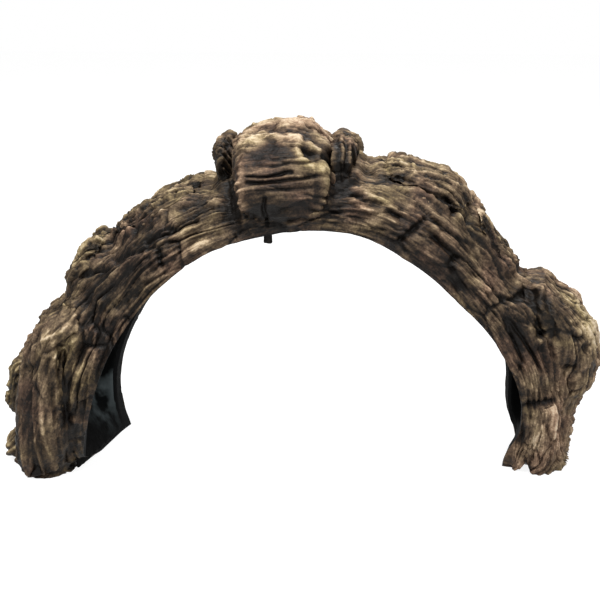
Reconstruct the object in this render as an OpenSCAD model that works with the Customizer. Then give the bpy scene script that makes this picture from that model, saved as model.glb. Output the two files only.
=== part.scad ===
// Resin cave ornament: a hollow branch bent into an arch. Bark castings are bonded edge to edge
// with locating pins, loose bark, knots and roots are bonded on top, and a dark resin layer
// backs the castings from inside. The arch runs from the left foot (-X) to the right foot (+X),
// its front faces -Y, and it stands on its feet at z = 0. Lengths are millimetres.

/* [Arch] */
// Distance from the front rim to the rear rim at the left leg
arch_depth = 92; // [84:1:100]
// Sideways shift that centres the finished ornament on the origin
arch_x = 3; // [0:0.5:6]
// Wall thickness of the bark castings
wall = 8; // [6:0.5:10]
// Thickness of the dark backing layer inside the castings
liner_t = 2; // [1.5:0.5:3]
// Adhesive gap left between bonded pieces
bond = 0.2; // [0.1:0.05:0.3]

/* [Crown] */
// Seam between the left limb and the crown span, in degrees from the left foot
seam_left = 77; // [75:0.5:79]
// Seam between the crown span and the right limb, in degrees from the left foot
seam_right = 101; // [99:0.5:103]
// How far the broken branch stub stands out of the crown
stub_height = 21; // [16:1:22]

/* [Roots and burls] */
// How far the front root plate stands out of the left leg
root_height = 7; // [4:0.5:9]
// How far the flared bark stands out of the right leg
flare_height = 16; // [14:1:20]

/* [Pins] */
// Diameter of the locating pins
pin_d = 4; // [3:0.5:4.5]
// Length of a locating pin, half of it in each casting
pin_len = 14; // [10:1:16]

/* [Hidden] */

// Profiles along the arch: each row is [degrees from the left foot, millimetres].
front_rim = [
    [0, 112.5], [20, 110.5], [40, 115], [60, 122.5], [70, 126], [80, 127], [100, 130.5],
    [115, 125.5], [130, 121], [145, 119], [158, 116], [169, 110], [173, 105], [177, 101.5], [180, 101],
];
rear_rim = [
    [0, 102], [8, 107.5], [20, 112.5], [45, 117], [60, 121.5], [80, 126], [100, 130],
    [130, 121], [150, 115.5], [160, 111], [166, 107.5], [172, 107], [180, 113],
];
ridge = [
    [0, 148], [10, 148], [20, 151], [30, 154.5], [37, 150], [46, 152], [60, 152], [75, 154],
    [90, 158], [102, 158], [114, 160], [121, 159], [129, 149], [137, 146.5], [150, 147],
    [165, 143], [173, 138], [180, 134],
];
front_face = [
    [0, -42], [60, -42], [90, -40], [118, -37], [135, -32], [150, -26], [165, -17], [180, -11],
];
// How far the front rim is turned in, back from the front face
tuck = [[0, 18], [8, 15], [20, 6], [35, 0], [60, 0], [120, 0], [165, 0], [174, 8], [180, 12]];

// Share of the section that is hollow: the feet close into solid pads
hollow = [
    [0, 0], [5, 0.12], [12, 0.6], [19, 1], [60, 1], [120, 1], [164, 1], [170, 0.6], [175, 0.12], [180, 0],
];
lip = liner_t + bond;
// Thickness of a bonded-on piece at its edge
edge_lift = 1.2;
arch_step = 3;
section_steps = 18;
pin_fit = 0.1;
// Where the backing layer stops short of the floor at each foot, in degrees
liner_end = 1;
// The broken twig in the crown's front rim: angle, how far it hangs below, and size
twig_at = 83;
twig_drop = 4;
twig_d = 4;
twig_len = 10;

// Value of a profile at x, on a smooth curve through its rows
function row_at(t, x, i = 0) = (i >= len(t) - 2 || x < t[i + 1][0]) ? i : row_at(t, x, i + 1);
function slope(t, i) =
    let (lo = max(i - 1, 0), hi = min(i + 1, len(t) - 1))
    (t[hi][1] - t[lo][1]) / (t[hi][0] - t[lo][0]);
function along(t, x) =
    let (i = row_at(t, x), w = t[i + 1][0] - t[i][0], u = (x - t[i][0]) / w)
    t[i][1] * (1 + 2 * u) * (1 - u) ^ 2 + t[i + 1][1] * u ^ 2 * (3 - 2 * u)
    + w * u * (1 - u) * (slope(t, i) * (1 - u) - slope(t, i + 1) * u);

// A place on the arch: a is degrees from the left foot, r the distance from the centre, y the depth
function spot(a, r, y) = [arch_x - r * cos(a), y, r * sin(a)];

// The branch's section: p runs from 0 at the front rim over the ridge to 180 at the rear rim
function belly(p) = sin(p) ^ 0.62;
function side(p) = sign(cos(p)) * abs(cos(p)) ^ 0.8;
function rim(a, p) =
    let (w = (1 - side(p)) / 2) along(front_rim, a) * (1 - w) + along(rear_rim, a) * w;
function rear_face(a) = arch_depth + front_face[0][1] - 2 * (a / 180) ^ 4;
function middle(a) = (along(front_face, a) + rear_face(a)) / 2;
function half(a) = (rear_face(a) - along(front_face, a)) / 2;
function turned_in(a, p) = p < 90 ? along(tuck, a) * (1 - belly(p)) ^ 3 : 0;

// Outer bark surface, raised by lift
function bark(a, p, lift = 0) =
    spot(a, rim(a, p) + (along(ridge, a) - rim(a, p) + lift) * belly(p),
         middle(a) - (half(a) + lift) * side(p) + turned_in(a, p));
// Inner surface of the castings, moved inwards by inset
function cavity(a, p, inset = 0) =
    spot(a,
         rim(a, p) + lip + ((along(ridge, a) - wall - rim(a, p) - lip) * along(hollow, a) - inset) * belly(p),
         middle(a) - (half(a) - wall - inset) * side(p) + turned_in(a, p));
// Corner of a rim's cut edge, side_of is 1 at the front and -1 at the rear
function rim_corner(a, p, side_of) =
    spot(a, rim(a, p), middle(a) - (half(a) - wall) * side_of + turned_in(a, p));

function steps(from, to, n) = [for (i = [0:n]) from + (to - from) * i / n];

// Quads and end caps of a tube whose rings hold n points, split into triangles
function tube_faces(rings, n) = [
    for (j = [0:rings - 2]) for (k = [0:n - 1])
        let (b = j * n, c = b + n, m = (k + 1) % n)
        each [[b + k, c + k, b + m], [b + m, c + k, c + m]]
];
function flipped(faces) = [for (f = faces) [f[0], f[2], f[1]]];
function shifted(faces, by) = [for (f = faces) [for (i = f) i + by]];
// The flat end of a channel: a strip between its outer and inner rows of m + 1 points
function strip(m, n) = [
    for (k = [0:m - 1]) each [[k, k + 1, n - 1 - k], [k + 1, n - 2 - k, n - 1 - k]]
];

module channel(rings, n, cap) {
    last = (len(rings) - 1) * n;
    polyhedron(
        points = [for (r = rings) each r],
        faces = concat(tube_faces(len(rings), n), cap, shifted(flipped(cap), last)));
}

// A bark casting from angle a0 to a1
module casting(a0, a1) {
    p = steps(0, 180, section_steps);
    m = section_steps;
    n = 2 * m + 4;
    // The rim corners lie between the outer row (0..m) and the inner row (m + 2..2m + 2)
    cap = concat(
        [for (k = [0:m - 1]) each [[k, k + 1, n - 2 - k], [k + 1, n - 3 - k, n - 2 - k]]],
        [[0, n - 2, n - 1], [m, m + 1, m + 2]]);
    rings = [for (a = steps(a0, a1, ceil((a1 - a0) / arch_step)))
        concat([for (q = p) bark(a, q)], [rim_corner(a, 180, -1)],
               [for (i = [m:-1:0]) cavity(a, p[i])], [rim_corner(a, 0, 1)])];
    channel(rings, n, cap);
}

// The backing layer from angle a0 to a1
module backing(a0, a1) {
    p = steps(0, 180, section_steps);
    m = section_steps;
    n = 2 * m + 2;
    rings = [for (a = steps(a0, a1, ceil((a1 - a0) / arch_step)))
        concat([for (q = p) cavity(a, q, bond)], [for (i = [m:-1:0]) cavity(a, p[i], bond + liner_t)])];
    channel(rings, n, strip(m, n));
}

// How far a bonded-on piece stands out at u, v (-1 to 1): crisp is 2 for a dome, 6 for a slab,
// and peak moves the highest point, each of them along the arch and across it
function pillow(u, crisp) = sqrt(max(0, 1 - abs(u) ^ crisp));
function to_peak(u, peak) = u < peak ? (u - peak) / (1 + peak) : (u - peak) / (1 - peak);
function lift_at(u, v, height, crisp, peak) =
    edge_lift + (height - edge_lift)
    * pillow(to_peak(u, peak[0]), crisp[0]) * pillow(to_peak(v, peak[1]), crisp[1]);

// A square of u, v drawn in towards a disc: 0 keeps the corners, 1 makes it a disc
function drawn_in(u, v, roundness) = u * sqrt(1 - roundness * v * v / 2);

// A piece bonded onto the bark over a range of arch angles and section angles. taper narrows it
// towards its far end, and drift slides it across the arch on the way.
module bonded_on(arch_range, section_range, height, crisp = [3, 3], peak = [0, 0],
                 roundness = 0.75, taper = 0, drift = 0, n = 10) {
    a_mid = (arch_range[0] + arch_range[1]) / 2;
    a_half = (arch_range[1] - arch_range[0]) / 2;
    p_mid = (section_range[0] + section_range[1]) / 2;
    p_half = (section_range[1] - section_range[0]) / 2;
    w = steps(-1, 1, n);
    function on_bark(u, v, lift) =
        let (x = drawn_in(u, v, roundness), y = drawn_in(v, u, roundness))
        bark(a_mid + a_half * x, p_mid + drift * x + p_half * (1 - taper * (1 + x) / 2) * y, lift);
    rings = [for (u = w)
        concat([for (v = w) on_bark(u, v, bond + lift_at(u, v, height, crisp, peak))],
               [for (j = [n:-1:0]) on_bark(u, w[j], bond)])];
    channel(rings, 2 * n + 2, strip(n, 2 * n + 2));
}

// Pins and their holes. A seam pin lies along the arch in the middle of the wall.
module seam_pin(a, p, d, l) {
    at = bark(a, p, -wall / 2);
    translate(at) rotate([0, a, 0]) translate([0, 0, -l / 2]) cylinder(d = d, h = l, $fn = 32);
}

module seam_pin_row(a, d, l) {
    for (p = [55, 90, 125]) seam_pin(a, p, d, l);
}

// A cross pin stands square to the bark and holds a bonded-on piece.
module cross_pin(a, y, out, d, l) {
    at = spot(a, along(ridge, a) + out, y);
    translate(at) rotate([0, a - 90, 0]) translate([0, 0, -l / 2]) cylinder(d = d, h = l, $fn = 32);
}

module knot_pin_pair(d, l) {
    for (a = [83, 93]) cross_pin(a, middle(a), 0, d, l);
}

module flare_pin_pair(d, l) {
    for (a = [146, 156]) cross_pin(a, middle(a) - 4, 0, d, l);
}

// The twig stands up through the crown's front rim, from just below it.
module twig(d, l) {
    translate(spot(twig_at, along(front_rim, twig_at) - twig_drop, along(front_face, twig_at) + wall / 2))
        cylinder(d = d, h = l, $fn = 24);
}

module twig_hole() {
    twig(twig_d + 2 * pin_fit, twig_len + 1);
}

bark_brown = [0.36, 0.28, 0.22];
bark_tan = [0.52, 0.43, 0.33];
backing_black = [0.05, 0.06, 0.06];
pin_grey = [0.75, 0.77, 0.76];

module left_limb() {
    color(bark_brown) difference() {
        casting(0, seam_left);
        seam_pin_row(seam_left, pin_d + 2 * pin_fit, pin_len + 1);
    }
}

module crown_span() {
    color(bark_brown) difference() {
        casting(seam_left, seam_right);
        seam_pin_row(seam_left, pin_d + 2 * pin_fit, pin_len + 1);
        seam_pin_row(seam_right, pin_d + 2 * pin_fit, pin_len + 1);
        knot_pin_pair(pin_d + 2 * pin_fit, pin_len - 3);
        twig_hole();
    }
}

module right_limb() {
    color(bark_brown) difference() {
        casting(seam_right, 180);
        seam_pin_row(seam_right, pin_d + 2 * pin_fit, pin_len + 1);
        flare_pin_pair(pin_d + 2 * pin_fit, pin_len - 3);
    }
}

module inner_liner() {
    color(backing_black) difference() {
        backing(liner_end, 180 - liner_end);
        twig_hole();
    }
}

module knot_stub() {
    color(bark_tan) difference() {
        bonded_on([78, 94.8], [3, 118], stub_height, [3.6, 2.6], [-0.5, 0.2], 0.35, n = 12);
        knot_pin_pair(pin_d + 2 * pin_fit, pin_len + 1);
    }
}

module knot_collar_left() {
    color(bark_brown) bonded_on([74.2, 78.2], [62, 132], 18, peak = [0.1, -0.1]);
}

module knot_collar_right() {
    color(bark_brown) bonded_on([94.8, 99.4], [44, 134], 12.5, peak = [-0.1, 0]);
}

module twig_nub() {
    color(bark_brown) twig(twig_d, twig_len);
}

module left_root_plate() {
    color(bark_brown) bonded_on([0, 39], [6, 60], root_height, [4, 4], [-0.1, 0], 0.5, taper = 0.35, drift = 4);
}

module left_heel_burl() {
    color(bark_tan) bonded_on([8, 21.5], [66, 116], 10, [2.4, 2.4]);
}

module left_toe_burl() {
    color(bark_tan) bonded_on([0, 6.6], [66, 104], 6.5, [2.4, 2.4], [-0.4, 0], 0.5, n = 7);
}

module left_rear_root() {
    color(bark_brown) bonded_on([0, 30], [122, 172], 5, roundness = 0.5, taper = 0.4);
}

module left_bark_lower() {
    color(bark_tan) bonded_on([38.5, 50], [58, 126], 8, peak = [-0.35, 0], roundness = 0.8, drift = 6);
}

module left_bark_upper() {
    color(bark_tan) bonded_on([51.4, 70.8], [54, 128], 5, [4, 4], [0.2, 0], 0.7, drift = -6);
}

module right_bark_upper() {
    color(bark_tan) bonded_on([103, 120.4], [48, 130], 7, roundness = 0.7, drift = -5);
}

module right_bark_lower() {
    color(bark_tan) bonded_on([121.4, 134.4], [54, 126], 3, [4, 4], [-0.3, 0], 0.8, drift = 5);
}

module right_flare() {
    color(bark_brown) difference() {
        bonded_on([137, 165], [30, 126], flare_height, [2, 3], [-0.15, 0], 0.6, taper = 0.2, n = 12);
        flare_pin_pair(pin_d + 2 * pin_fit, pin_len + 1);
    }
}

module right_foot_root() {
    color(bark_tan) bonded_on([161.5, 180], [4, 27], 4, [6, 4], roundness = 0.3, n = 8);
}

module right_rear_root() {
    color(bark_brown) bonded_on([150, 180], [134, 170], 5, roundness = 0.5);
}

module seam_pins() {
    color(pin_grey) {
        seam_pin_row(seam_left, pin_d, pin_len);
        seam_pin_row(seam_right, pin_d, pin_len);
    }
}

module knot_pins() {
    color(pin_grey) knot_pin_pair(pin_d, pin_len - 4);
}

module flare_pins() {
    color(pin_grey) flare_pin_pair(pin_d, pin_len - 4);
}

left_limb();
crown_span();
right_limb();
inner_liner();
knot_stub();
knot_collar_left();
knot_collar_right();
twig_nub();
left_root_plate();
left_heel_burl();
left_toe_burl();
left_rear_root();
left_bark_lower();
left_bark_upper();
right_bark_upper();
right_bark_lower();
right_flare();
right_foot_root();
right_rear_root();
seam_pins();
knot_pins();
flare_pins();
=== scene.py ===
"""Resin cave ornament: a hollow branch bent into an arch, cast in resin and painted as bark.

Every piece is shaped from its CAD node. The three bark castings are skinned afresh round the
branch, and the knots, roots and loose bark are remeshed. One bark relief, laid out along the
branch, is carved into all of them, so that grooves run on from piece to piece. The relief is
also kept on the mesh as attributes, which the paint follows.
"""
import math

import bmesh
import bpy
import numpy as np
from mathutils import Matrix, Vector
from mathutils.bvhtree import BVHTree


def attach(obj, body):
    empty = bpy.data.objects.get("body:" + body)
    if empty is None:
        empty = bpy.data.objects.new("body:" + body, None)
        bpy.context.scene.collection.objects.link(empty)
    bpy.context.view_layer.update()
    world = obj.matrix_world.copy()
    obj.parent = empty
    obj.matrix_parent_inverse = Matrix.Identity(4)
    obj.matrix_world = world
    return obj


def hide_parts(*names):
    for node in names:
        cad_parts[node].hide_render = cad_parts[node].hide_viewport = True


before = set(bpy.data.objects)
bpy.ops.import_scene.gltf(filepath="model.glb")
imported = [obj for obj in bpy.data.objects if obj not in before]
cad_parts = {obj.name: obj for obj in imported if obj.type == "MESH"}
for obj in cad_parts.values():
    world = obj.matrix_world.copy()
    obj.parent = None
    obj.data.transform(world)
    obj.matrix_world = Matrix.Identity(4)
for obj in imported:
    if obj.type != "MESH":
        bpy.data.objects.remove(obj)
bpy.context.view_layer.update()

MM = 0.001
ARCH_X = 3.0                      # the arch's centre, in mm along X
GRAIN_RADIUS = 150.0              # turns an angle along the branch into a length, in mm
GIRTH_RADIUS = 46.0               # and an angle round the branch
CASTINGS = ("left_limb", "crown_span", "right_limb")
PINS = ("seam_pins", "knot_pins", "flare_pins")
CELL_ACROSS = 0.62                # mesh size across and along the grain of a casting, in mm
CELL_ALONG = 0.92
RING_POINTS = 36                  # a casting's CAD ring has at least this many corners
STATIONS = 40                     # sections read off a casting along its length
RAYS = 61                         # rays that read one section
LINING_POINTS = 36                # mesh points across the inside of a casting
RIM_STEPS = 6                     # and over each rim
SKIN_ROUNDS = 12                  # rounds of smoothing for the outside of a casting
LINING_ROUNDS = 4                 # and for the inside
SEAM_LAP = 0.40                   # how far a casting's skin laps over a seam, in degrees
GRID_SPAN = 2.0                   # width of the flat grid that a casting is wrapped from
RIM_FADE = 0.2                    # share of the relief left right at a casting's rims
VOXEL = 0.6                       # mesh size of a bonded-on piece, in mm
LINER_VOXEL = 1.1                 # and of the backing inside
RIDGE_TOP = 1.15                  # the ridge attribute levels off here
WEAR = 0.33                       # how much more dry-brush the right foot gets


# ---------------------------------------------------------------- noise
def hashed(ix, iy, iz, seed):
    """A repeatable random number from 0 to 1 for each whole-numbered place."""
    n = ix * 374761393 + iy * 668265263 + iz * 1440662683 + seed * 1274126177
    n = (n ^ (n >> 13)) * 1274126177 & 0xFFFFFFFF
    n = (n ^ (n >> 15)) * 2246822519 & 0xFFFFFFFF
    return ((n ^ (n >> 16)) & 0xFFFF) / 65535.0


def noise(x, y, z, seed=0):
    """Smooth noise from -1 to 1 with a cell of 1."""
    fx, fy, fz = np.floor(x), np.floor(y), np.floor(z)
    ix, iy, iz = (f.astype(np.int64) for f in (fx, fy, fz))
    u, v, w = (t * t * t * (t * (6 * t - 15) + 10) for t in (x - fx, y - fy, z - fz))
    total = 0.0
    for dx in (0, 1):
        for dy in (0, 1):
            for dz in (0, 1):
                weight = (u if dx else 1 - u) * (v if dy else 1 - v) * (w if dz else 1 - w)
                total = total + weight * hashed(ix + dx, iy + dy, iz + dz, seed)
    return 2 * total - 1


def layered(x, y, z, octaves, seed=0):
    """Noise in octaves, each half as strong as the one before."""
    total, strength, reach = 0.0, 1.0, 0.0
    for k in range(octaves):
        total = total + strength * noise(x * 2 ** k, y * 2 ** k, z * 2 ** k, seed + k)
        reach += strength
        strength /= 2
    return total / reach


def plates(u, v, seed=0):
    """A broken pattern of cells: distance in from the nearest crack, and a random number each."""
    fu, fv = np.floor(u), np.floor(v)
    iu, iv = fu.astype(np.int64), fv.astype(np.int64)
    first = np.full(u.shape, 9.0)
    second = np.full(u.shape, 9.0)
    mark = np.zeros(u.shape)
    none = np.zeros(u.shape, np.int64)
    for du in (-1, 0, 1):
        for dv in (-1, 0, 1):
            cu = iu + du + 0.1 + 0.8 * hashed(iu + du, iv + dv, none, seed)
            cv = iv + dv + 0.1 + 0.8 * hashed(iu + du, iv + dv, none, seed + 1)
            d = np.hypot(cu - u, cv - v)
            nearer = d < first
            second = np.where(nearer, first, np.minimum(second, d))
            mark = np.where(nearer, hashed(iu + du, iv + dv, none, seed + 2), mark)
            first = np.where(nearer, d, first)
    return second - first, mark


def ramp(x, low, high):
    """0 below low, 1 above high, smooth between."""
    t = np.clip((x - low) / (high - low), 0, 1)
    return t * t * (3 - 2 * t)


# ---------------------------------------------------------------- the branch's layout
def merged_copy(node):
    """A bmesh of a CAD node with its loose triangles joined."""
    bm = bmesh.new()
    bm.from_mesh(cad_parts[node].data)
    bmesh.ops.remove_doubles(bm, verts=bm.verts, dist=1e-6)
    return bm


def arch_angle(x, z):
    """Degrees along the branch from the left foot."""
    return np.degrees(np.arctan2(z, ARCH_X - x))


def read_rims():
    """The front and rear edges of the branch, read off the castings: angle, radius, y in mm."""
    rows = []
    for node in CASTINGS:
        bm = merged_copy(node)
        at = np.array([v.co for v in bm.verts]) / MM
        bm.free()
        angle = np.round(arch_angle(at[:, 0], at[:, 2]), 2)
        for a in np.unique(angle):
            ring = at[angle == a]
            if len(ring) >= RING_POINTS:
                radius = np.hypot(ring[:, 0] - ARCH_X, ring[:, 2])
                middle = (ring[:, 1].min() + ring[:, 1].max()) / 2
                row = [a]
                for way in (-1, 1):
                    half = (ring[:, 1] - middle) * way > 0
                    edge = half & (radius < radius[half].min() + 1)
                    rim = np.argmax(np.where(edge, ring[:, 1] * way, -999))
                    row += [radius[rim], ring[rim, 1]]
                rows.append(row)
    rows = np.array(sorted(rows))
    keep = np.concatenate([[True], np.diff(rows[:, 0]) > 0.05])
    return rows[keep]


RIMS = read_rims()


def rims_at(a):
    """Front radius, front y, rear radius and rear y at angle a, in mm."""
    return [np.interp(a, RIMS[:, 0], RIMS[:, k]) for k in (1, 2, 3, 4)]


def layout(at):
    """Where points lie on the branch: t along it and s round it from the ridge, in mm."""
    a = arch_angle(at[:, 0], at[:, 2])
    radius = np.hypot(at[:, 0] - ARCH_X, at[:, 2])
    a = np.where(a < -90, a + 360, a)
    front_r, front_y, rear_r, rear_y = rims_at(a)
    up = radius - (front_r + rear_r) / 2
    back = at[:, 1] - (front_y + rear_y) / 2
    turn = np.arctan2(back, np.maximum(up, 0.5))
    return np.radians(a) * GRAIN_RADIUS, turn * GIRTH_RADIUS, a


# ---------------------------------------------------------------- the front's own marks
# Grooves and ridges that run where they do on this ornament, seen from the front: x and z of
# both ends, width, height (below 0 is a groove) and how much lighter the paint goes, in mm and shares:
# dry-brush and dark wash, and on the knob's lit left edge and in the shadow below its rims, painted
# light and painted shadow.
MARKS = [
    # left leg: long upright grooves, a pale line, and torn fibres across the top of the root
    (-113, 70, -113, 29, 1.7, -3.2, -0.3), (-123, 68, -124, 27, 1.1, 0.8, 0.45),
    (-128, 60, -128, 24, 1.4, -1.8, -0.2), (-119, 65, -118, 30, 1.0, -1.5, -0.2),
    (-106, 73, -109, 30, 1.6, 1.2, 0.1), (-108, 81, -122, 73, 0.8, 0.8, 0.5),
    (-106, 77, -119, 68, 0.9, -1.6, -0.3), (-105, 74, -116, 66, 0.7, 0.6, 0.4),
    (-100, 69, -105, 57, 0.9, 0.8, 0.35),
    # left limb: straight splits along it, a crack across, a ridge by the rim
    (-72, 122, -46, 133, 1.1, -2.8, -0.5), (-70, 120, -46, 130, 0.9, 1.0, 0.35),
    (-65, 119, -63, 112, 1.2, -3.0, -0.5), (-108, 99, -83, 116, 1.5, -2.2, -0.25),
    (-91, 113, -67, 121, 1.2, -2.0, -0.25), (-63, 113, -29, 126, 1.8, 1.2, 0.1),
    (-95, 112, -45, 136, 14.0, 0, -0.05), (-45, 122, -41, 124, 2.0, 0.5, 0.5),
    (-98, 100, -72, 117, 1.6, 1.0, 0.15), (-33, 149, -28, 132, 4.0, -1.5, -0.3),
    # right limb: tan ridges by the knob, a crack across, then long ridges down to the foot
    (28, 149, 48, 140, 1.5, 1.4, 0.4), (28, 143, 47, 134, 1.4, 1.3, 0.4),
    (28, 146, 50, 137, 1.0, -2.0, -0.3), (50, 125, 62, 135, 1.3, -3.4, -0.6),
    (54, 128, 77, 106, 2.2, 1.6, 0.2), (62, 131, 87, 107, 1.5, -2.6, -0.3),
    (66, 131, 93, 100, 1.4, 1.2, 0.2), (86, 141, 90, 133, 2.4, 0.5, 0.45),
    (72, 143, 75, 137, 1.7, -3.0, -0.6),
    # the flared bark: two upright grooves, holes at its edge, and the ridge of the limb beside it
    (113, 102, 118, 77, 2.0, -1.8, -0.3), (121, 102, 124, 76, 1.7, -1.5, -0.25),
    (104, 92, 118, 73, 1.8, 1.6, 0.25), (136, 76, 138, 76, 1.8, -3.0, -0.7),
    (140, 71, 141, 69, 1.6, -3.0, -0.7), (133, 60, 135, 60, 1.8, -3.0, -0.6),
    # right foot: upright ridges, a gap across above the toes
    (119, 67, 126, 46, 1.4, 1.2, 0.35), (113, 63, 115, 50, 1.6, 1.0, 0.3),
    (113, 40, 126, 41, 1.7, -3.4, -0.6), (117, 61, 118, 46, 1.2, 0.8, 0.3),
    (127, 39, 129, 28, 1.3, 0.9, 0.35), (118, 32, 119, 17, 1.5, 1.0, 0.4),
    (128, 27, 132, 15, 1.1, 0.8, 0.35), (123, 31, 128, 18, 1.2, -2.0, -0.3),
    (113, 34, 113, 15, 1.1, -1.5, -0.3), (134, 41, 135, 23, 1.4, -1.8, -0.2),
    (115.5, 9, 115.5, 0, 2.2, -3.0, -0.6),
    # crown knob: layers across its face, an upright crack below them, and its lit left edge
    (-20, 157, 1, 158, 0.8, -1.6, -0.45), (-20, 154, 11, 156, 0.9, -2.2, -0.5),
    (-18, 162, 10, 163, 0.7, -1.2, -0.3), (-12, 155.5, 6, 157, 0.7, 0.4, 0.35),
    (-12, 146, -12, 132, 0.9, -2.4, -0.5), (-24, 162, -23, 134, 1.6, 0.6, 0.3),
    (-18, 165, 8, 166, 0.6, -0.8, -0.2), (-16, 150, 10, 151, 0.7, -1.0, -0.25),
    (25, 160, 21, 143, 5.0, -1.0, -0.4),
    # a dark patch under its crest, the nested rims down its right edge, and the shadow below them
    (-18, 166, -10, 170, 2.4, -0.4, -0.34), (-10, 170, 0, 167, 2.4, -0.4, -0.34),
    (2, 170, 12, 158, 1.2, 0.9, 0.32), (5, 172, 15, 159, 1.1, -1.8, -0.5),
    (9, 173, 18, 159, 1.0, 0.9, 0.3), (15, 152, 14, 138, 3.0, -0.5, -0.34),
    (-22, 150, -21, 136, 1.8, 0.3, 0.2), (-33, 152, -27, 134, 3.0, -1.0, -0.3),
    (5, 139, 14, 137, 1.6, 0.4, 0.28),
]
KNOB_HEART = (-6.5, 153.0)        # centre of the knob's rings, x and z in mm
KNOB_FACE = 19.5                  # how far out the first ring runs
RING_STEP = 3.3                   # spacing of the rings
KNOB_FLANK = 2.6                  # how far the knob and its right collar swell to meet, in mm
FLARE_BOWL = (129.0, 91.0)        # middle of the hollow in the flared bark, x and z in mm
TOE_GAP = (115.5, 2.2, 6.5)       # where the right foot parts into toes: x, width and height in mm
RIGHT_FOOT = 100.0                # the right foot is past this x, in mm
FILLET = 2.6                      # how far a casting swells to meet a bonded-on piece, in mm
FILLET_REACH = 6.0                # and over what distance
PIN_COVER = 0.9                   # least bark left over a pin, in mm
FOOTING = 6.0                     # height over which the relief stops moving up and down, in mm


def marks(at, facing):
    """What the front's own marks add to the height and to the ridges."""
    x = at[:, 0] + 0.6 * noise(at[:, 0] / 7, at[:, 2] / 7, at[:, 1] / 12, 81)
    z = at[:, 2] + 0.6 * noise(at[:, 0] / 7, at[:, 2] / 7, at[:, 1] / 12, 82)
    height, ridge = np.zeros(len(x)), np.zeros(len(x))
    for x0, z0, x1, z1, width, lift, tone in MARKS:
        dx, dz = x1 - x0, z1 - z0
        run = np.clip(((x - x0) * dx + (z - z0) * dz) / (dx * dx + dz * dz), 0, 1)
        off = np.hypot(x - x0 - run * dx, z - z0 - run * dz)
        near = np.exp(-(off / width) ** 2)
        height = height + lift * near
        ridge = ridge + tone * near
    front = ramp(-facing[:, 1], 0.05, 0.45)
    return height * front, ridge * front


def knob_rings(at):
    """The broken branch end: a calm heart, and rings round its top and right."""
    x, z = at[:, 0] - KNOB_HEART[0], at[:, 2] - KNOB_HEART[1]
    x = x + 1.0 * noise(at[:, 0] / 9, at[:, 2] / 9, at[:, 1] / 12, 84)
    z = z + 1.0 * noise(at[:, 0] / 9, at[:, 2] / 9, at[:, 1] / 12, 85)
    out = (np.abs(x) ** 3 + np.abs(z * 0.95) ** 3) ** (1 / 3)
    turn = np.degrees(np.arctan2(z, x))
    where = ramp(turn, -45, -10) * (1 - ramp(turn, 110, 150)) * ramp(-at[:, 1], 0, 18)
    wave = np.cos(2 * math.pi * (out - KNOB_FACE) / RING_STEP) * ramp(out, KNOB_FACE - 2.2, KNOB_FACE - 0.8)
    edge = np.exp(-((out - KNOB_FACE) / 2.0) ** 2)
    heart = 1 - ramp(out, KNOB_FACE - 3.5, KNOB_FACE - 1)
    below = 1 - ramp(z, -16, -9)
    shade = 1 - ramp(z, -15, -2)
    flank = ramp(x, 16, 21) * (1 - ramp(x, 26, 30)) * ramp(z, -16, -8) * (1 - ramp(z, 12, 20))
    height = where * (1.0 * wave + 1.0 * edge) - 1.2 * heart * (1 - below) + KNOB_FLANK * flank
    # dry-brush on the rings; the lower face, turned down, is painted darker as painted shade, and the top a
    # little lighter as painted light
    brush_and_painted_light = where * (0.30 * wave + 0.20 * edge) + 0.03 * heart - 0.30 * shade + 0.05 * ramp(z, 11, 19)
    return height, brush_and_painted_light, 1 - 0.65 * heart - 0.3 * where * (1 - heart)


def flare_bowl(at):
    """The flared bark: a smooth dark hollow in its face, with a pale lumpy rim outside it."""
    x, z = at[:, 0] - FLARE_BOWL[0], at[:, 2] - FLARE_BOWL[1]
    bowl = np.exp(-(x / 8) ** 2 - (z / 12) ** 2)
    out = np.hypot(at[:, 0] - ARCH_X, at[:, 2])
    rim = ramp(out, 155, 160)
    return -2.5 * bowl, 0.05 + 0.16 * rim - 0.10 * bowl, 1 + 0.7 * rim - 0.7 * bowl


def leg_fibres(at):
    """The left leg: long upright folds and fibres down its front, over calmer bark."""
    x, y, z = at.T
    x = x + 1.5 * noise(x / 20, z / 28, y / 25, 91)
    fold = (1 - np.abs(noise(x / 4.6, z / 60, y / 16, 92))) ** 2
    fibre = 1 - np.abs(noise(x / 1.8, z / 32, y / 9, 93))
    return 2.4 * fold + 0.8 * fibre - 1.8, 0.44 * (fold - 0.33) + 0.30 * (fibre - 0.50), 0.5


def away_from(at, nodes, reach):
    """How far points are from some CAD nodes, in mm, at most reach."""
    bm = bmesh.new()
    for node in nodes:
        bm.from_mesh(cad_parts[node].data)
    tree = BVHTree.FromBMesh(bm)
    bm.free()
    away = np.full(len(at), reach)
    for k, place in enumerate(at):
        near = tree.find_nearest(Vector(place) * MM, reach * MM)
        if near[0] is not None:
            away[k] = near[3] / MM
    return away


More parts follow.
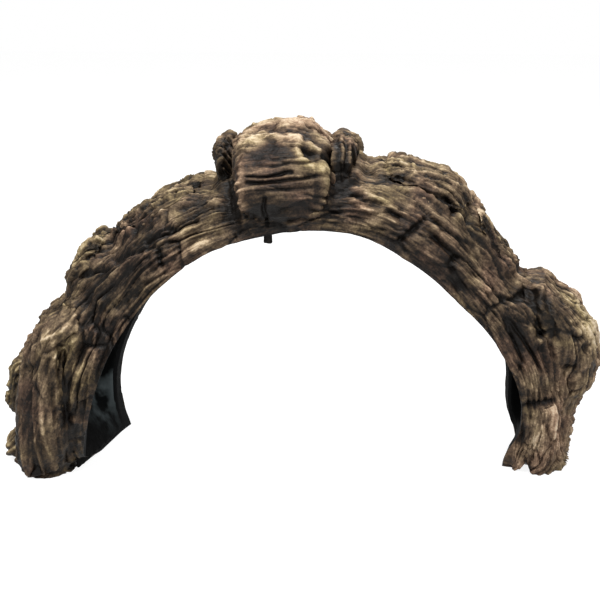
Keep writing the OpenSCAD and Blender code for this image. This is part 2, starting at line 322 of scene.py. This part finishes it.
# ---------------------------------------------------------------- bark
def bark(t, s, at, rough=1.0):
    """The bark's height over the plain casting, in mm, and how far each point is up a ridge, 0 to 1."""
    x, y, z = at.T
    flat = np.zeros(len(x))
    # the grain wanders a little
    s_run = s + 5 * layered(t / 60, s / 45, flat, 2, 11) + 1.2 * noise(t / 16, s / 16, flat, 12)
    t_run = t + 4 * noise(t / 25, s / 18, flat, 13)

    lumps = layered(x / 22, y / 22, z / 22, 2, 21)
    edge, mark = plates(t_run / 36 + 0.3, s_run / 10, 31)
    cracked = ramp(noise(t / 30, s / 20, flat, 32), -0.35, 0.25)
    crack = (1 - ramp(edge, 0.0, 0.10)) * (0.25 + 0.75 * cracked)
    slab = (mark - 0.5) * ramp(edge, 0.0, 0.08)
    # long splits that open along the grain
    deep = 1 - ramp(np.abs(noise(t_run / 42, s_run / 7.5, flat, 41)), 0.0, 0.14)
    deep = deep * ramp(noise(t / 35, s / 25, flat, 43), -0.3, 0.2)
    # torn layers: each rises slowly across the grain and drops at a broken edge
    turn = s_run / 7.5 + 0.7 * noise(t_run / 30, s_run / 14, flat, 45)
    layer = turn - np.floor(turn)
    torn = layer * (1 - ramp(layer, 0.90, 1.0)) * ramp(noise(t / 21, s / 16, flat, 46), -0.5, 0.3)
    crest = (1 - np.abs(noise(t_run / 26, s_run / 3.0, flat, 42))) ** 2
    strand = 1 - np.abs(noise(t_run / 14, s_run / 1.7, flat, 44))
    # short chips, broken across as well as along
    chip_edge, chip_mark = plates(t_run / 7.5, s_run / 3.2, 35)
    chip = (chip_mark - 0.5) * ramp(chip_edge, 0.0, 0.15) - 0.5 * (1 - ramp(chip_edge, 0.0, 0.16))
    crust = 0.30 + 0.70 * ramp(layered(x / 18, y / 18, z / 18, 2, 53), -0.30, 0.35)
    crust = crust * (1 - 0.75 * ramp(np.abs(s), 15, 52))
    knobs = layered(x / 5.5, y / 5.5, z / 5.5, 2, 51)
    crumbs = noise(x / 2.1, y / 2.1, z / 2.1, 57)
    pits = ramp(noise(x / 3.1, y / 3.1, z / 3.1, 55), 0.40, 0.75) * crust

    height = 2.0 * lumps + rough * (
        1.5 * slab - 2.0 * crack - 2.4 * deep + 1.9 * torn + 1.6 * crest + 0.8 * strand - 2.0
        + (0.42 + 1.0 * crust) * chip + 1.5 * crust * knobs + (0.22 + 0.35 * crust) * crumbs - 1.1 * pits)
    ridge = (0.16 + 0.14 * slab - 0.40 * crack - 0.44 * deep + 0.22 * torn + 0.26 * crest + 0.18 * strand
             + (0.18 + 0.26 * crust) * chip + 0.22 * crust * knobs + (0.10 + 0.2 * crust) * crumbs
             - 0.40 * pits)
    return height, ridge


def vertex_normals(mesh):
    """The mesh's vertex normals, one row each."""
    n = np.empty(len(mesh.vertices) * 3)
    mesh.vertex_normals.foreach_get("vector", n)
    return n.reshape(-1, 3)


def positions(mesh):
    """The mesh's vertex places in metres, one row each."""
    co = np.empty(len(mesh.vertices) * 3)
    mesh.vertices.foreach_get("co", co)
    return co.reshape(-1, 3)


def keep_attribute(mesh, name, values):
    """Stores one number for each vertex."""
    layer = mesh.attributes.new(name, "FLOAT", "POINT")
    layer.data.foreach_set("value", values.astype(np.float32))


def keep_paint(mesh, t, s, ridge, a):
    """Stores what the paint follows: the height on the bark, how far it faces up (painted lighter as
    dry-brush and as painted light from above), and the grain.
    """
    facing = vertex_normals(mesh)
    keep_attribute(mesh, "ridge", ridge)
    keep_attribute(mesh, "top_light_and_drybrush", np.clip(0.5 + 0.5 * facing[:, 2], 0, 1))
    layer = mesh.attributes.new("grain", "FLOAT_VECTOR", "POINT")
    layer.data.foreach_set("vector", np.stack([t, s, a], 1).astype(np.float32).ravel())


def carve(mesh, rough=1.0, fade=None, shape=None, swell=None, deepest=None):
    """Pushes the bark relief into a mesh along its normals.

    fade is 0 where the mesh stays plain, shape gives a piece its own relief, swell adds height, and
    no point sinks below deepest.
    """
    at = positions(mesh) / MM
    facing = vertex_normals(mesh)
    t, s, a = layout(at)
    height, ridge = bark(t, s, at, rough)
    if shape:
        added, brush_and_painted_light, share = shape(at)
        height, ridge = height * share + added, 0.3 + (ridge - 0.3) * share + brush_and_painted_light
    if swell is not None:
        height = height + swell
    # how much lighter the paint goes: dry-brush, with the painted light and painted shade that some shapes
    # and marks carry
    added, brush_and_painted_light = marks(at, facing)
    height, ridge = height + added, ridge + brush_and_painted_light + WEAR * ramp(a, 140, 165)
    inside = np.zeros(len(at))
    if fade is not None:
        height = height * fade
        inside = 1 - ramp(fade, 0.0, RIM_FADE)
    if deepest is not None:
        height = np.maximum(height, deepest)
    moved = at + facing * height[:, None]
    # the feet stay flat on the floor, but for the gap between the right foot's toes
    moved[:, 2] = at[:, 2] + (moved[:, 2] - at[:, 2]) * ramp(at[:, 2], 0, FOOTING)
    gap_x, gap_width, gap_height = TOE_GAP
    gap = gap_height * np.exp(-((at[:, 0] - gap_x) / gap_width) ** 2) * ramp(-at[:, 1], -8, -1)
    gap = np.where(at[:, 0] > RIGHT_FOOT, gap, 0)
    moved[:, 2] = np.maximum(np.where(at[:, 2] < 0.05, 0, moved[:, 2]), gap)
    mesh.vertices.foreach_set("co", (moved * MM).ravel())
    mesh.update()
    keep_paint(mesh, t, s, RIDGE_TOP * np.tanh(np.maximum(ridge, 0) / RIDGE_TOP), a)
    keep_attribute(mesh, "inside", inside)


# ---------------------------------------------------------------- castings
def section_rays(tree, a, turns):
    """Outer and inner outline of the branch's section at angle a, found by rays, in mm."""
    front_r, front_y, rear_r, rear_y = rims_at(a)
    out = Vector((-math.cos(math.radians(a)), 0, math.sin(math.radians(a))))
    centre = Vector((ARCH_X, 0, 0))
    front = centre + out * float(front_r) + Vector((0, float(front_y), 0))
    rear = centre + out * float(rear_r) + Vector((0, float(rear_y), 0))
    middle = (front + rear) / 2
    to_front = (front - middle).normalized()
    outer, inner = [], []
    for turn in turns:
        way = to_front * math.cos(turn) + out * math.sin(turn)
        far = tree.ray_cast((middle + way * 90) * MM, -way)[0]
        near = tree.ray_cast(middle * MM, way)[0]
        outer.append(np.array(far) / MM)
        inner.append(np.array(near) / MM)
    return np.array(front), np.array(rear), np.array(outer), np.array(inner)


def resampled(line, count):
    """count points evenly spaced along a line of points."""
    run = np.concatenate([[0], np.cumsum(np.linalg.norm(np.diff(line, axis=0), axis=1))])
    at = np.linspace(0, run[-1], count)
    return np.stack([np.interp(at, run, line[:, k]) for k in range(3)], 1)


def softened(grid, steps):
    """A grid of points smoothed along both of its ways, its edges kept in line."""
    for _ in range(steps):
        padded = np.concatenate([2 * grid[:1] - grid[1:2], grid, 2 * grid[-1:] - grid[-2:-1]])
        grid = 0.25 * padded[:-2] + 0.5 * padded[1:-1] + 0.25 * padded[2:]
        padded = np.concatenate([2 * grid[:, :1] - grid[:, 1:2], grid, 2 * grid[:, -1:] - grid[:, -2:-1]], 1)
        grid = 0.25 * padded[:, :-2] + 0.5 * padded[:, 1:-1] + 0.25 * padded[:, 2:]
    return grid


def casting(node):
    """One bark casting: a fine skin outside, a coarser one inside, closed over the rims."""
    source = merged_copy(node)
    tree = BVHTree.FromBMesh(source)
    at = np.array([v.co for v in source.verts]) / MM
    source.free()
    angle = arch_angle(at[:, 0], at[:, 2])
    first, last = angle.min(), angle.max()
    turns = np.linspace(0.035, math.pi - 0.035, RAYS)
    stations = np.linspace(first + 0.02, last - 0.02, STATIONS)
    skins, linings = [], []
    across = None
    for a in stations:
        front, rear, outer, inner = section_rays(tree, a, turns)
        line = np.concatenate([[front], outer, [rear]])
        if across is None:
            across = int(np.linalg.norm(np.diff(line, axis=0), axis=1).sum() / CELL_ACROSS)
        skins.append(resampled(line, across))
        linings.append(resampled(inner[::-1], LINING_POINTS))
    skins, linings = np.array(skins), np.array(linings)

    along = int(math.radians(last - first) * GRAIN_RADIUS / CELL_ALONG)
    fine = np.linspace(first, last, along)
    if first > 1:
        fine[0] -= SEAM_LAP
    if last < 179:
        fine[-1] += SEAM_LAP

    def stretched(rows):
        radius = np.hypot(rows[:, :, 0] - ARCH_X, rows[:, :, 2])
        radius = np.stack([np.interp(fine, stations, radius[:, j]) for j in range(rows.shape[1])], 1)
        depth = np.stack([np.interp(fine, stations, rows[:, j, 1]) for j in range(rows.shape[1])], 1)
        turned = np.radians(fine)[:, None]
        return np.stack([ARCH_X - radius * np.cos(turned), depth, radius * np.sin(turned)], 2)

    skin = softened(stretched(skins), SKIN_ROUNDS)
    lining = softened(stretched(linings), LINING_ROUNDS)
    steps = np.linspace(0, 1, RIM_STEPS + 2)[1:-1, None]
    rear_rim = skin[:, -1:, :] * (1 - steps) + lining[:, :1, :] * steps
    front_rim = lining[:, -1:, :] * (1 - steps) + skin[:, :1, :] * steps
    ring = np.concatenate([skin, rear_rim, lining, front_rim], 1)
    rows, columns = ring.shape[:2]

    bm = bmesh.new()
    bmesh.ops.create_grid(bm, x_segments=columns, y_segments=rows - 1, size=GRID_SPAN / 2)
    grid = np.array([v.co for v in bm.verts])
    column = np.rint((grid[:, 0] / GRID_SPAN + 0.5) * columns).astype(int) % columns
    row = np.rint((grid[:, 1] / GRID_SPAN + 0.5) * (rows - 1)).astype(int)
    carved = bm.verts.layers.float.new("carved")
    from_edge = np.minimum(column, across - 1 - column) * CELL_ACROSS
    fade = np.where(column < across, RIM_FADE + (1 - RIM_FADE) * ramp(from_edge, 0, 6), 0)
    for v, place, share in zip(bm.verts, ring[row, column] * MM, fade):
        v.co = place
        v[carved] = share
    bmesh.ops.remove_doubles(bm, verts=bm.verts, dist=1e-7)
    bmesh.ops.recalc_face_normals(bm, faces=bm.faces)
    mesh = bpy.data.meshes.new(node + "_skin")
    bm.to_mesh(mesh)
    bm.free()
    return mesh


def close_ends(mesh):
    """Fills the two open ends of a casting's skin, each with flat faces."""
    bm = bmesh.new()
    bm.from_mesh(mesh)
    made = bmesh.ops.holes_fill(bm, edges=[e for e in bm.edges if e.is_boundary])["faces"]
    bmesh.ops.triangulate(bm, faces=made)
    bmesh.ops.recalc_face_normals(bm, faces=bm.faces)
    bm.to_mesh(mesh)
    bm.free()


def shown(node, name, mesh, finish):
    """Puts a finished mesh in the scene in place of its CAD node."""
    piece = bpy.data.objects.new(name, mesh)
    bpy.context.scene.collection.objects.link(piece)
    mesh.materials.clear()
    mesh.materials.append(finish)
    mesh.shade_smooth()
    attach(piece, "root")
    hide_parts(node)
    return piece


# ---------------------------------------------------------------- bonded-on pieces
def modified(mesh, kind, **settings):
    """The mesh as a modifier leaves it."""
    piece = bpy.data.objects.new("work", mesh)
    bpy.context.scene.collection.objects.link(piece)
    modifier = piece.modifiers.new(kind, kind)
    for key, value in settings.items():
        setattr(modifier, key, value)
    bpy.context.view_layer.update()
    made = bpy.data.meshes.new_from_object(piece.evaluated_get(bpy.context.evaluated_depsgraph_get()))
    bpy.data.objects.remove(piece)
    return made


def smoothed(mesh, rounds):
    """The mesh, evened out."""
    bm = bmesh.new()
    bm.from_mesh(mesh)
    for _ in range(rounds):
        bmesh.ops.smooth_vert(bm, verts=bm.verts, factor=0.5,
                              use_axis_x=True, use_axis_y=True, use_axis_z=True)
    bm.to_mesh(mesh)
    bm.free()
    return mesh


def bonded_piece(node, voxel=VOXEL, wander=2.0, seed=0):
    """A dense, even mesh of a bonded-on piece, its plain outline pushed about a little."""
    bm = merged_copy(node)
    mesh = bpy.data.meshes.new(node + "_bark")
    bm.to_mesh(mesh)
    bm.free()
    mesh = modified(mesh, "REMESH", mode="VOXEL", voxel_size=voxel * MM)
    mesh = smoothed(mesh, 8)
    at = positions(mesh) / MM
    x, y, z = (at / 13).T
    push = np.stack([layered(x, y, z, 2, 71 + seed + 5 * k) for k in range(3)], 1)
    moved = at + wander * push
    moved[:, 2] = np.where(at[:, 2] < 0.5, at[:, 2], np.maximum(moved[:, 2], 0))
    mesh.vertices.foreach_set("co", (moved * MM).ravel())
    mesh.update()
    return mesh


# ---------------------------------------------------------------- paint
class Paint:
    """Short names for building one node material."""

    def __init__(self, name):
        self.finish = bpy.data.materials.new(name)
        self.finish.use_nodes = True
        self.tree = self.finish.node_tree
        self.shader = self.tree.nodes["Principled BSDF"]

    def node(self, kind, inputs=None, **settings):
        """A new node, its inputs linked or set."""
        made = self.tree.nodes.new(kind)
        for key, value in settings.items():
            setattr(made, key, value)
        for key, value in (inputs or {}).items():
            if isinstance(value, bpy.types.NodeSocket):
                self.tree.links.new(value, made.inputs[key])
            else:
                made.inputs[key].default_value = value
        return made

    def attribute(self, name, output="Fac"):
        """A number or vector kept on the mesh."""
        return self.node("ShaderNodeAttribute", attribute_name=name).outputs[output]

    def noise(self, place, size, detail=4.0, rough=0.55):
        """Noise with features about size mm across, on coordinates in metres."""
        return self.node("ShaderNodeTexNoise", {"Vector": place, "Scale": 1 / (size * MM), "Detail": detail,
                                                "Roughness": rough}).outputs["Fac"]

    def math(self, kind, a, b=0.0):
        """One sum on numbers or sockets."""
        return self.node("ShaderNodeMath", {0: a, 1: b}, operation=kind).outputs[0]

    def around(self, value, strength):
        """The value's swing about a half, times strength."""
        return self.math("MULTIPLY", self.math("SUBTRACT", value, 0.5), strength)

    def ramp(self, value, stops):
        """A colour band from (place, colour) stops."""
        made = self.node("ShaderNodeValToRGB", {"Fac": value})
        band = made.color_ramp
        while len(band.elements) < len(stops):
            band.elements.new(0.5)
        for element, (place, colour) in zip(band.elements, stops):
            element.position = place
            element.color = (*colour, 1)
        return made.outputs["Color"]

    def mix(self, share, a, b, blend="MIX"):
        """Two colours blended by a share."""
        made = self.node("ShaderNodeMix", data_type="RGBA", blend_type=blend)
        for key, value in ((0, share), (6, a), (7, b)):
            if isinstance(value, bpy.types.NodeSocket):
                self.tree.links.new(value, made.inputs[key])
            elif key == 0:
                made.inputs[key].default_value = value
            else:
                made.inputs[key].default_value = (*value, 1)
        return made.outputs[2]

    def bump(self, height, strength, depth):
        """A normal from a height map, depth in mm."""
        return self.node("ShaderNodeBump", {"Height": height, "Strength": strength,
                                            "Distance": depth * MM}).outputs[0]

    def into(self, socket, value):
        """Sets one of the shader's own sockets, or links a pattern to it."""
        if isinstance(value, bpy.types.NodeSocket):
            self.tree.links.new(value, self.shader.inputs[socket])
        else:
            self.shader.inputs[socket].default_value = value


def bark_paint(name, tan=0.0, olive=0.0):
    """Dark brown resin with a black wash in the cracks, darker there also as painted shade, tan dry-brush
    over the ridges, and faces turned up painted lighter as painted light.
    """
    p = Paint(name)
    place = p.node("ShaderNodeTexCoord").outputs["Object"]
    grain = p.attribute("grain", "Vector")
    run = p.node("ShaderNodeMapping", {"Vector": grain, "Scale": (1 / 11, 1 / 1.1, 0.05)}).outputs[0]
    streak = p.node("ShaderNodeTexNoise", {"Vector": run, "Scale": 1.0, "Detail": 3.0}).outputs["Fac"]
    speckle = p.noise(place, 1.3, 3)
    patch = p.noise(place, 16, 3)
    hue = p.noise(place, 24, 2)
    grit = p.noise(place, 0.7, 2)
    # ridge runs low in cracks and pits, which go dark: the black wash, and painted shade in the crevices
    level = p.math("ADD", p.attribute("ridge"), p.around(streak, 0.72))
    level = p.math("ADD", level, p.around(speckle, 0.50))
    level = p.math("ADD", level, p.around(grit, 0.25))
    level = p.math("ADD", level, p.around(patch, 0.82))
    # faces turned up are painted lighter: dry-brush, and painted light from above
    level = p.math("ADD", level, p.around(p.attribute("top_light_and_drybrush"), 0.34))
    level = p.math("ADD", level, tan)
    level = p.math("ADD", p.math("MULTIPLY", p.math("SUBTRACT", level, 0.5), 1.22), 0.492)
    colour = p.ramp(level, [
        (0.08, (0.003, 0.002, 0.0012)), (0.30, (0.017, 0.011, 0.0068)), (0.52, (0.053, 0.036, 0.0225)),
        (0.74, (0.118, 0.085, 0.053)), (0.98, (0.27, 0.205, 0.13))])
    tint = p.ramp(p.math("ADD", hue, olive), [
        (0.34, (1.0, 0.87, 0.90)), (0.50, (1.0, 0.97, 0.94)), (0.70, (0.97, 0.99, 0.80))])
    bark_colour = p.mix(1.0, colour, tint, "MULTIPLY")
    tips = p.node("ShaderNodeMapRange", {"Value": level, "From Min": 0.95, "From Max": 1.4}).outputs[0]
    bark_colour = p.mix(tips, bark_colour, (0.52, 0.43, 0.31))
    p.into("Base Color", p.mix(p.attribute("inside"), bark_colour, (0.002, 0.0022, 0.0024)))
    rough = p.node("ShaderNodeMapRange", {"Value": level, "From Min": 0.2, "From Max": 0.9,
                                          "To Min": 0.48, "To Max": 0.85}).outputs[0]
    p.into("Roughness", p.math("MAXIMUM", rough, p.math("MULTIPLY", p.attribute("inside"), 0.95)))
    p.into("Specular IOR Level", 0.16)
    fine = p.math("ADD", p.math("MULTIPLY", streak, 0.6), p.math("MULTIPLY", speckle, 0.6))
    fine = p.math("ADD", fine, p.math("MULTIPLY", grit, 0.25))
    p.into("Normal", p.bump(fine, 0.8, 0.9))
    return p.finish


PAINTED_SHEEN_SPOT = (-0.108, 0.030, 0.026)   # where a blue-grey sheen is painted on the backing of the left leg, as a painted reflection


def backing_paint():
    """Black resin laid in by brush: soft brush ripples, and a blue-grey sheen painted in the left leg as a
    painted reflection.
    """
    p = Paint("black_backing")
    place = p.node("ShaderNodeTexCoord").outputs["Object"]
    broad = p.noise(place, 14, 3)
    fine = p.noise(place, 2.2, 4)
    away = p.node("ShaderNodeVectorMath", {0: place, 1: PAINTED_SHEEN_SPOT}, operation="DISTANCE").outputs["Value"]
    # share of the painted reflection: full within 10 mm of the spot, none past 26 mm
    low = p.node("ShaderNodeMapRange", {"Value": away, "From Min": 0.026, "From Max": 0.010}).outputs[0]
    black = p.ramp(broad, [(0.3, (0.0003, 0.0003, 0.0003)), (0.7, (0.0010, 0.0011, 0.0012))])
    painted_sheen = p.ramp(broad, [(0.42, (0.002, 0.0025, 0.0026)), (0.60, (0.050, 0.060, 0.062))])
    p.into("Base Color", p.mix(low, black, painted_sheen))
    rough = p.node("ShaderNodeMapRange", {"Value": fine, "To Min": 0.6, "To Max": 0.85}).outputs[0]
    p.into("Roughness", rough)
    p.into("Specular IOR Level", 0.03)
    p.into("Normal", p.bump(p.math("ADD", broad, p.math("MULTIPLY", fine, 0.3)), 0.5, 1.2))
    return p.finish


def pin_paint():
    """Drawn glass-fibre rod: dull, with a fine grey mottle."""
    p = Paint("glass_fibre_rod")
    place = p.node("ShaderNodeTexCoord").outputs["Object"]
    strand = p.noise(place, 0.4, 2)
    p.into("Base Color", p.ramp(strand, [(0.3, (0.45, 0.47, 0.44)), (0.7, (0.68, 0.70, 0.66))]))
    p.into("Roughness", 0.6)
    p.into("Normal", p.bump(strand, 0.3, 0.1))
    return p.finish


PAINTS = {
    "dark": bark_paint("bark_dark"),
    "tan": bark_paint("bark_tan", tan=0.10, olive=0.04),
    "russet": bark_paint("bark_russet", tan=0.13, olive=-0.04),
    "olive": bark_paint("bark_olive", tan=0.08, olive=0.12),
    "backing": backing_paint(),
    "pin": pin_paint(),
}

# ---------------------------------------------------------------- pieces
# node: paint, record slot, roughness of the bark, how far the outline wanders, its own shape
BONDED = {
    "knot_stub": ("russet", "bark_tan", 0.9, 1.2, knob_rings),
    "knot_collar_left": ("dark", "bark_dark", 0.8, 2.5, None),
    "knot_collar_right": ("dark", "bark_dark", 0.8, 1.5, knob_rings),
    "left_root_plate": ("dark", "bark_dark", 0.8, 1.5, leg_fibres),
    "left_heel_burl": ("olive", "bark_tan", 0.7, 2.0, None),
    "left_toe_burl": ("olive", "bark_tan", 0.8, 2.0, None),
    "left_rear_root": ("dark", "bark_dark", 0.8, 2.0, None),
    "left_bark_lower": ("olive", "bark_tan", 0.9, 2.5, None),
    "left_bark_upper": ("olive", "bark_tan", 0.9, 2.5, None),
    "right_bark_upper": ("tan", "bark_tan", 0.9, 2.5, None),
    "right_bark_lower": ("tan", "bark_tan", 0.9, 2.5, None),
    "right_flare": ("dark", "bark_dark", 0.55, 1.2, flare_bowl),
    "right_foot_root": ("tan", "bark_tan", 0.7, 1.0, None),
    "right_rear_root": ("dark", "bark_dark", 0.8, 1.5, None),
}


for node in CASTINGS:
    mesh = casting(node)
    fade = np.empty(len(mesh.vertices))
    mesh.attributes["carved"].data.foreach_get("value", fade)
    at = positions(mesh) / MM
    swell = FILLET * (1 - ramp(away_from(at, BONDED, FILLET_REACH), 0, FILLET_REACH))
    deepest = PIN_COVER - away_from(at, PINS, FILLET_REACH)
    deepest = np.where(fade > 0, deepest, -FILLET_REACH)
    carve(mesh, fade=fade, swell=swell, deepest=deepest)
    mesh.attributes.remove(mesh.attributes["carved"])
    close_ends(mesh)
    shown(node, node + "_bark", mesh, PAINTS["dark"])

for number, (node, (paint, slot, rough, wander, shape)) in enumerate(BONDED.items()):
    mesh = bonded_piece(node, wander=wander, seed=10 * number)
    carve(mesh, rough, shape=shape)
    shown(node, node + "_bark", mesh, PAINTS[paint])

twig = bonded_piece("twig_nub", voxel=0.25, wander=0.5)
carve(twig, rough=0.15)
shown("twig_nub", "twig_nub_bark", twig, PAINTS["dark"])

backing = merged_copy("inner_liner")
mesh = bpy.data.meshes.new("inner_liner_skin")
backing.to_mesh(mesh)
backing.free()
mesh = smoothed(modified(mesh, "REMESH", mode="VOXEL", voxel_size=LINER_VOXEL * MM), 6)
shown("inner_liner", "inner_liner_skin", mesh, PAINTS["backing"])

for node in PINS:
    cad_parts[node].data.materials.clear()
    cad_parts[node].data.materials.append(PAINTS["pin"])

# ---------------------------------------------------------------- floor, camera and light
bpy.ops.mesh.primitive_plane_add(size=6, location=(0, 0, 0))
floor = bpy.context.object
floor.name = "floor"
p = Paint("white_floor")
p.into("Base Color", (0.25, 0.25, 0.25, 1))
p.into("Roughness", 0.9)
p.into("Specular IOR Level", 0.1)
p.into("Emission Color", (1, 1, 1, 1))
p.into("Emission Strength", 0.88)
floor.data.materials.append(p.finish)


def pointed(thing, place, target):
    """Puts a lamp or camera at a place, turned to its target."""
    thing.location = place
    thing.rotation_euler = (Vector(target) - Vector(place)).to_track_quat("-Z", "Y").to_euler()


def around(turn, lift, distance, target):
    """A place seen from target at a turn from the front and a lift from level, in degrees."""
    turn, lift = math.radians(turn), math.radians(lift)
    return Vector(target) + distance * Vector((
        math.sin(turn) * math.cos(lift), -math.cos(turn) * math.cos(lift), math.sin(lift)))


AIM = (0.0, 0.0, 0.086)
camera = bpy.data.objects.new("camera", bpy.data.cameras.new("camera"))
bpy.context.scene.collection.objects.link(camera)
camera.data.sensor_width = 36
camera.data.lens = 84
camera.data.clip_start = 0.01
pointed(camera, around(5, 14, 0.708, AIM), AIM)
bpy.context.scene.camera = camera


def soft_light(name, turn, lift, distance, size, power):
    """A round softbox turned to the object; size in metres, power in watts."""
    lamp = bpy.data.objects.new(name, bpy.data.lights.new(name, "AREA"))
    bpy.context.scene.collection.objects.link(lamp)
    lamp.data.shape = "DISK"
    lamp.data.size = size
    lamp.data.energy = power
    pointed(lamp, around(turn, lift, distance, AIM), AIM)


soft_light("overhead", -10, 76, 1.1, 0.5, 15)
soft_light("front_left", -38, 42, 1.2, 0.35, 7)
soft_light("front_right", 42, 34, 1.3, 0.4, 8)
soft_light("back", 170, 40, 1.4, 0.6, 5)

world = bpy.data.worlds.new("studio")
bpy.context.scene.world = world
world.use_nodes = True
# a white room to look at, and a dimmer one to light by, so that the key light still models the bark
sky = world.node_tree.nodes["Background"].inputs["Strength"]
seen = world.node_tree.nodes.new("ShaderNodeLightPath").outputs["Is Camera Ray"]
strength = world.node_tree.nodes.new("ShaderNodeMapRange")
strength.inputs["To Min"].default_value = 0.38
strength.inputs["To Max"].default_value = 1.0
world.node_tree.links.new(seen, strength.inputs["Value"])
world.node_tree.links.new(strength.outputs[0], sky)
world.node_tree.nodes["Background"].inputs["Color"].default_value = (1, 1, 1, 1)
bpy.context.scene.view_settings.view_transform = "Standard"
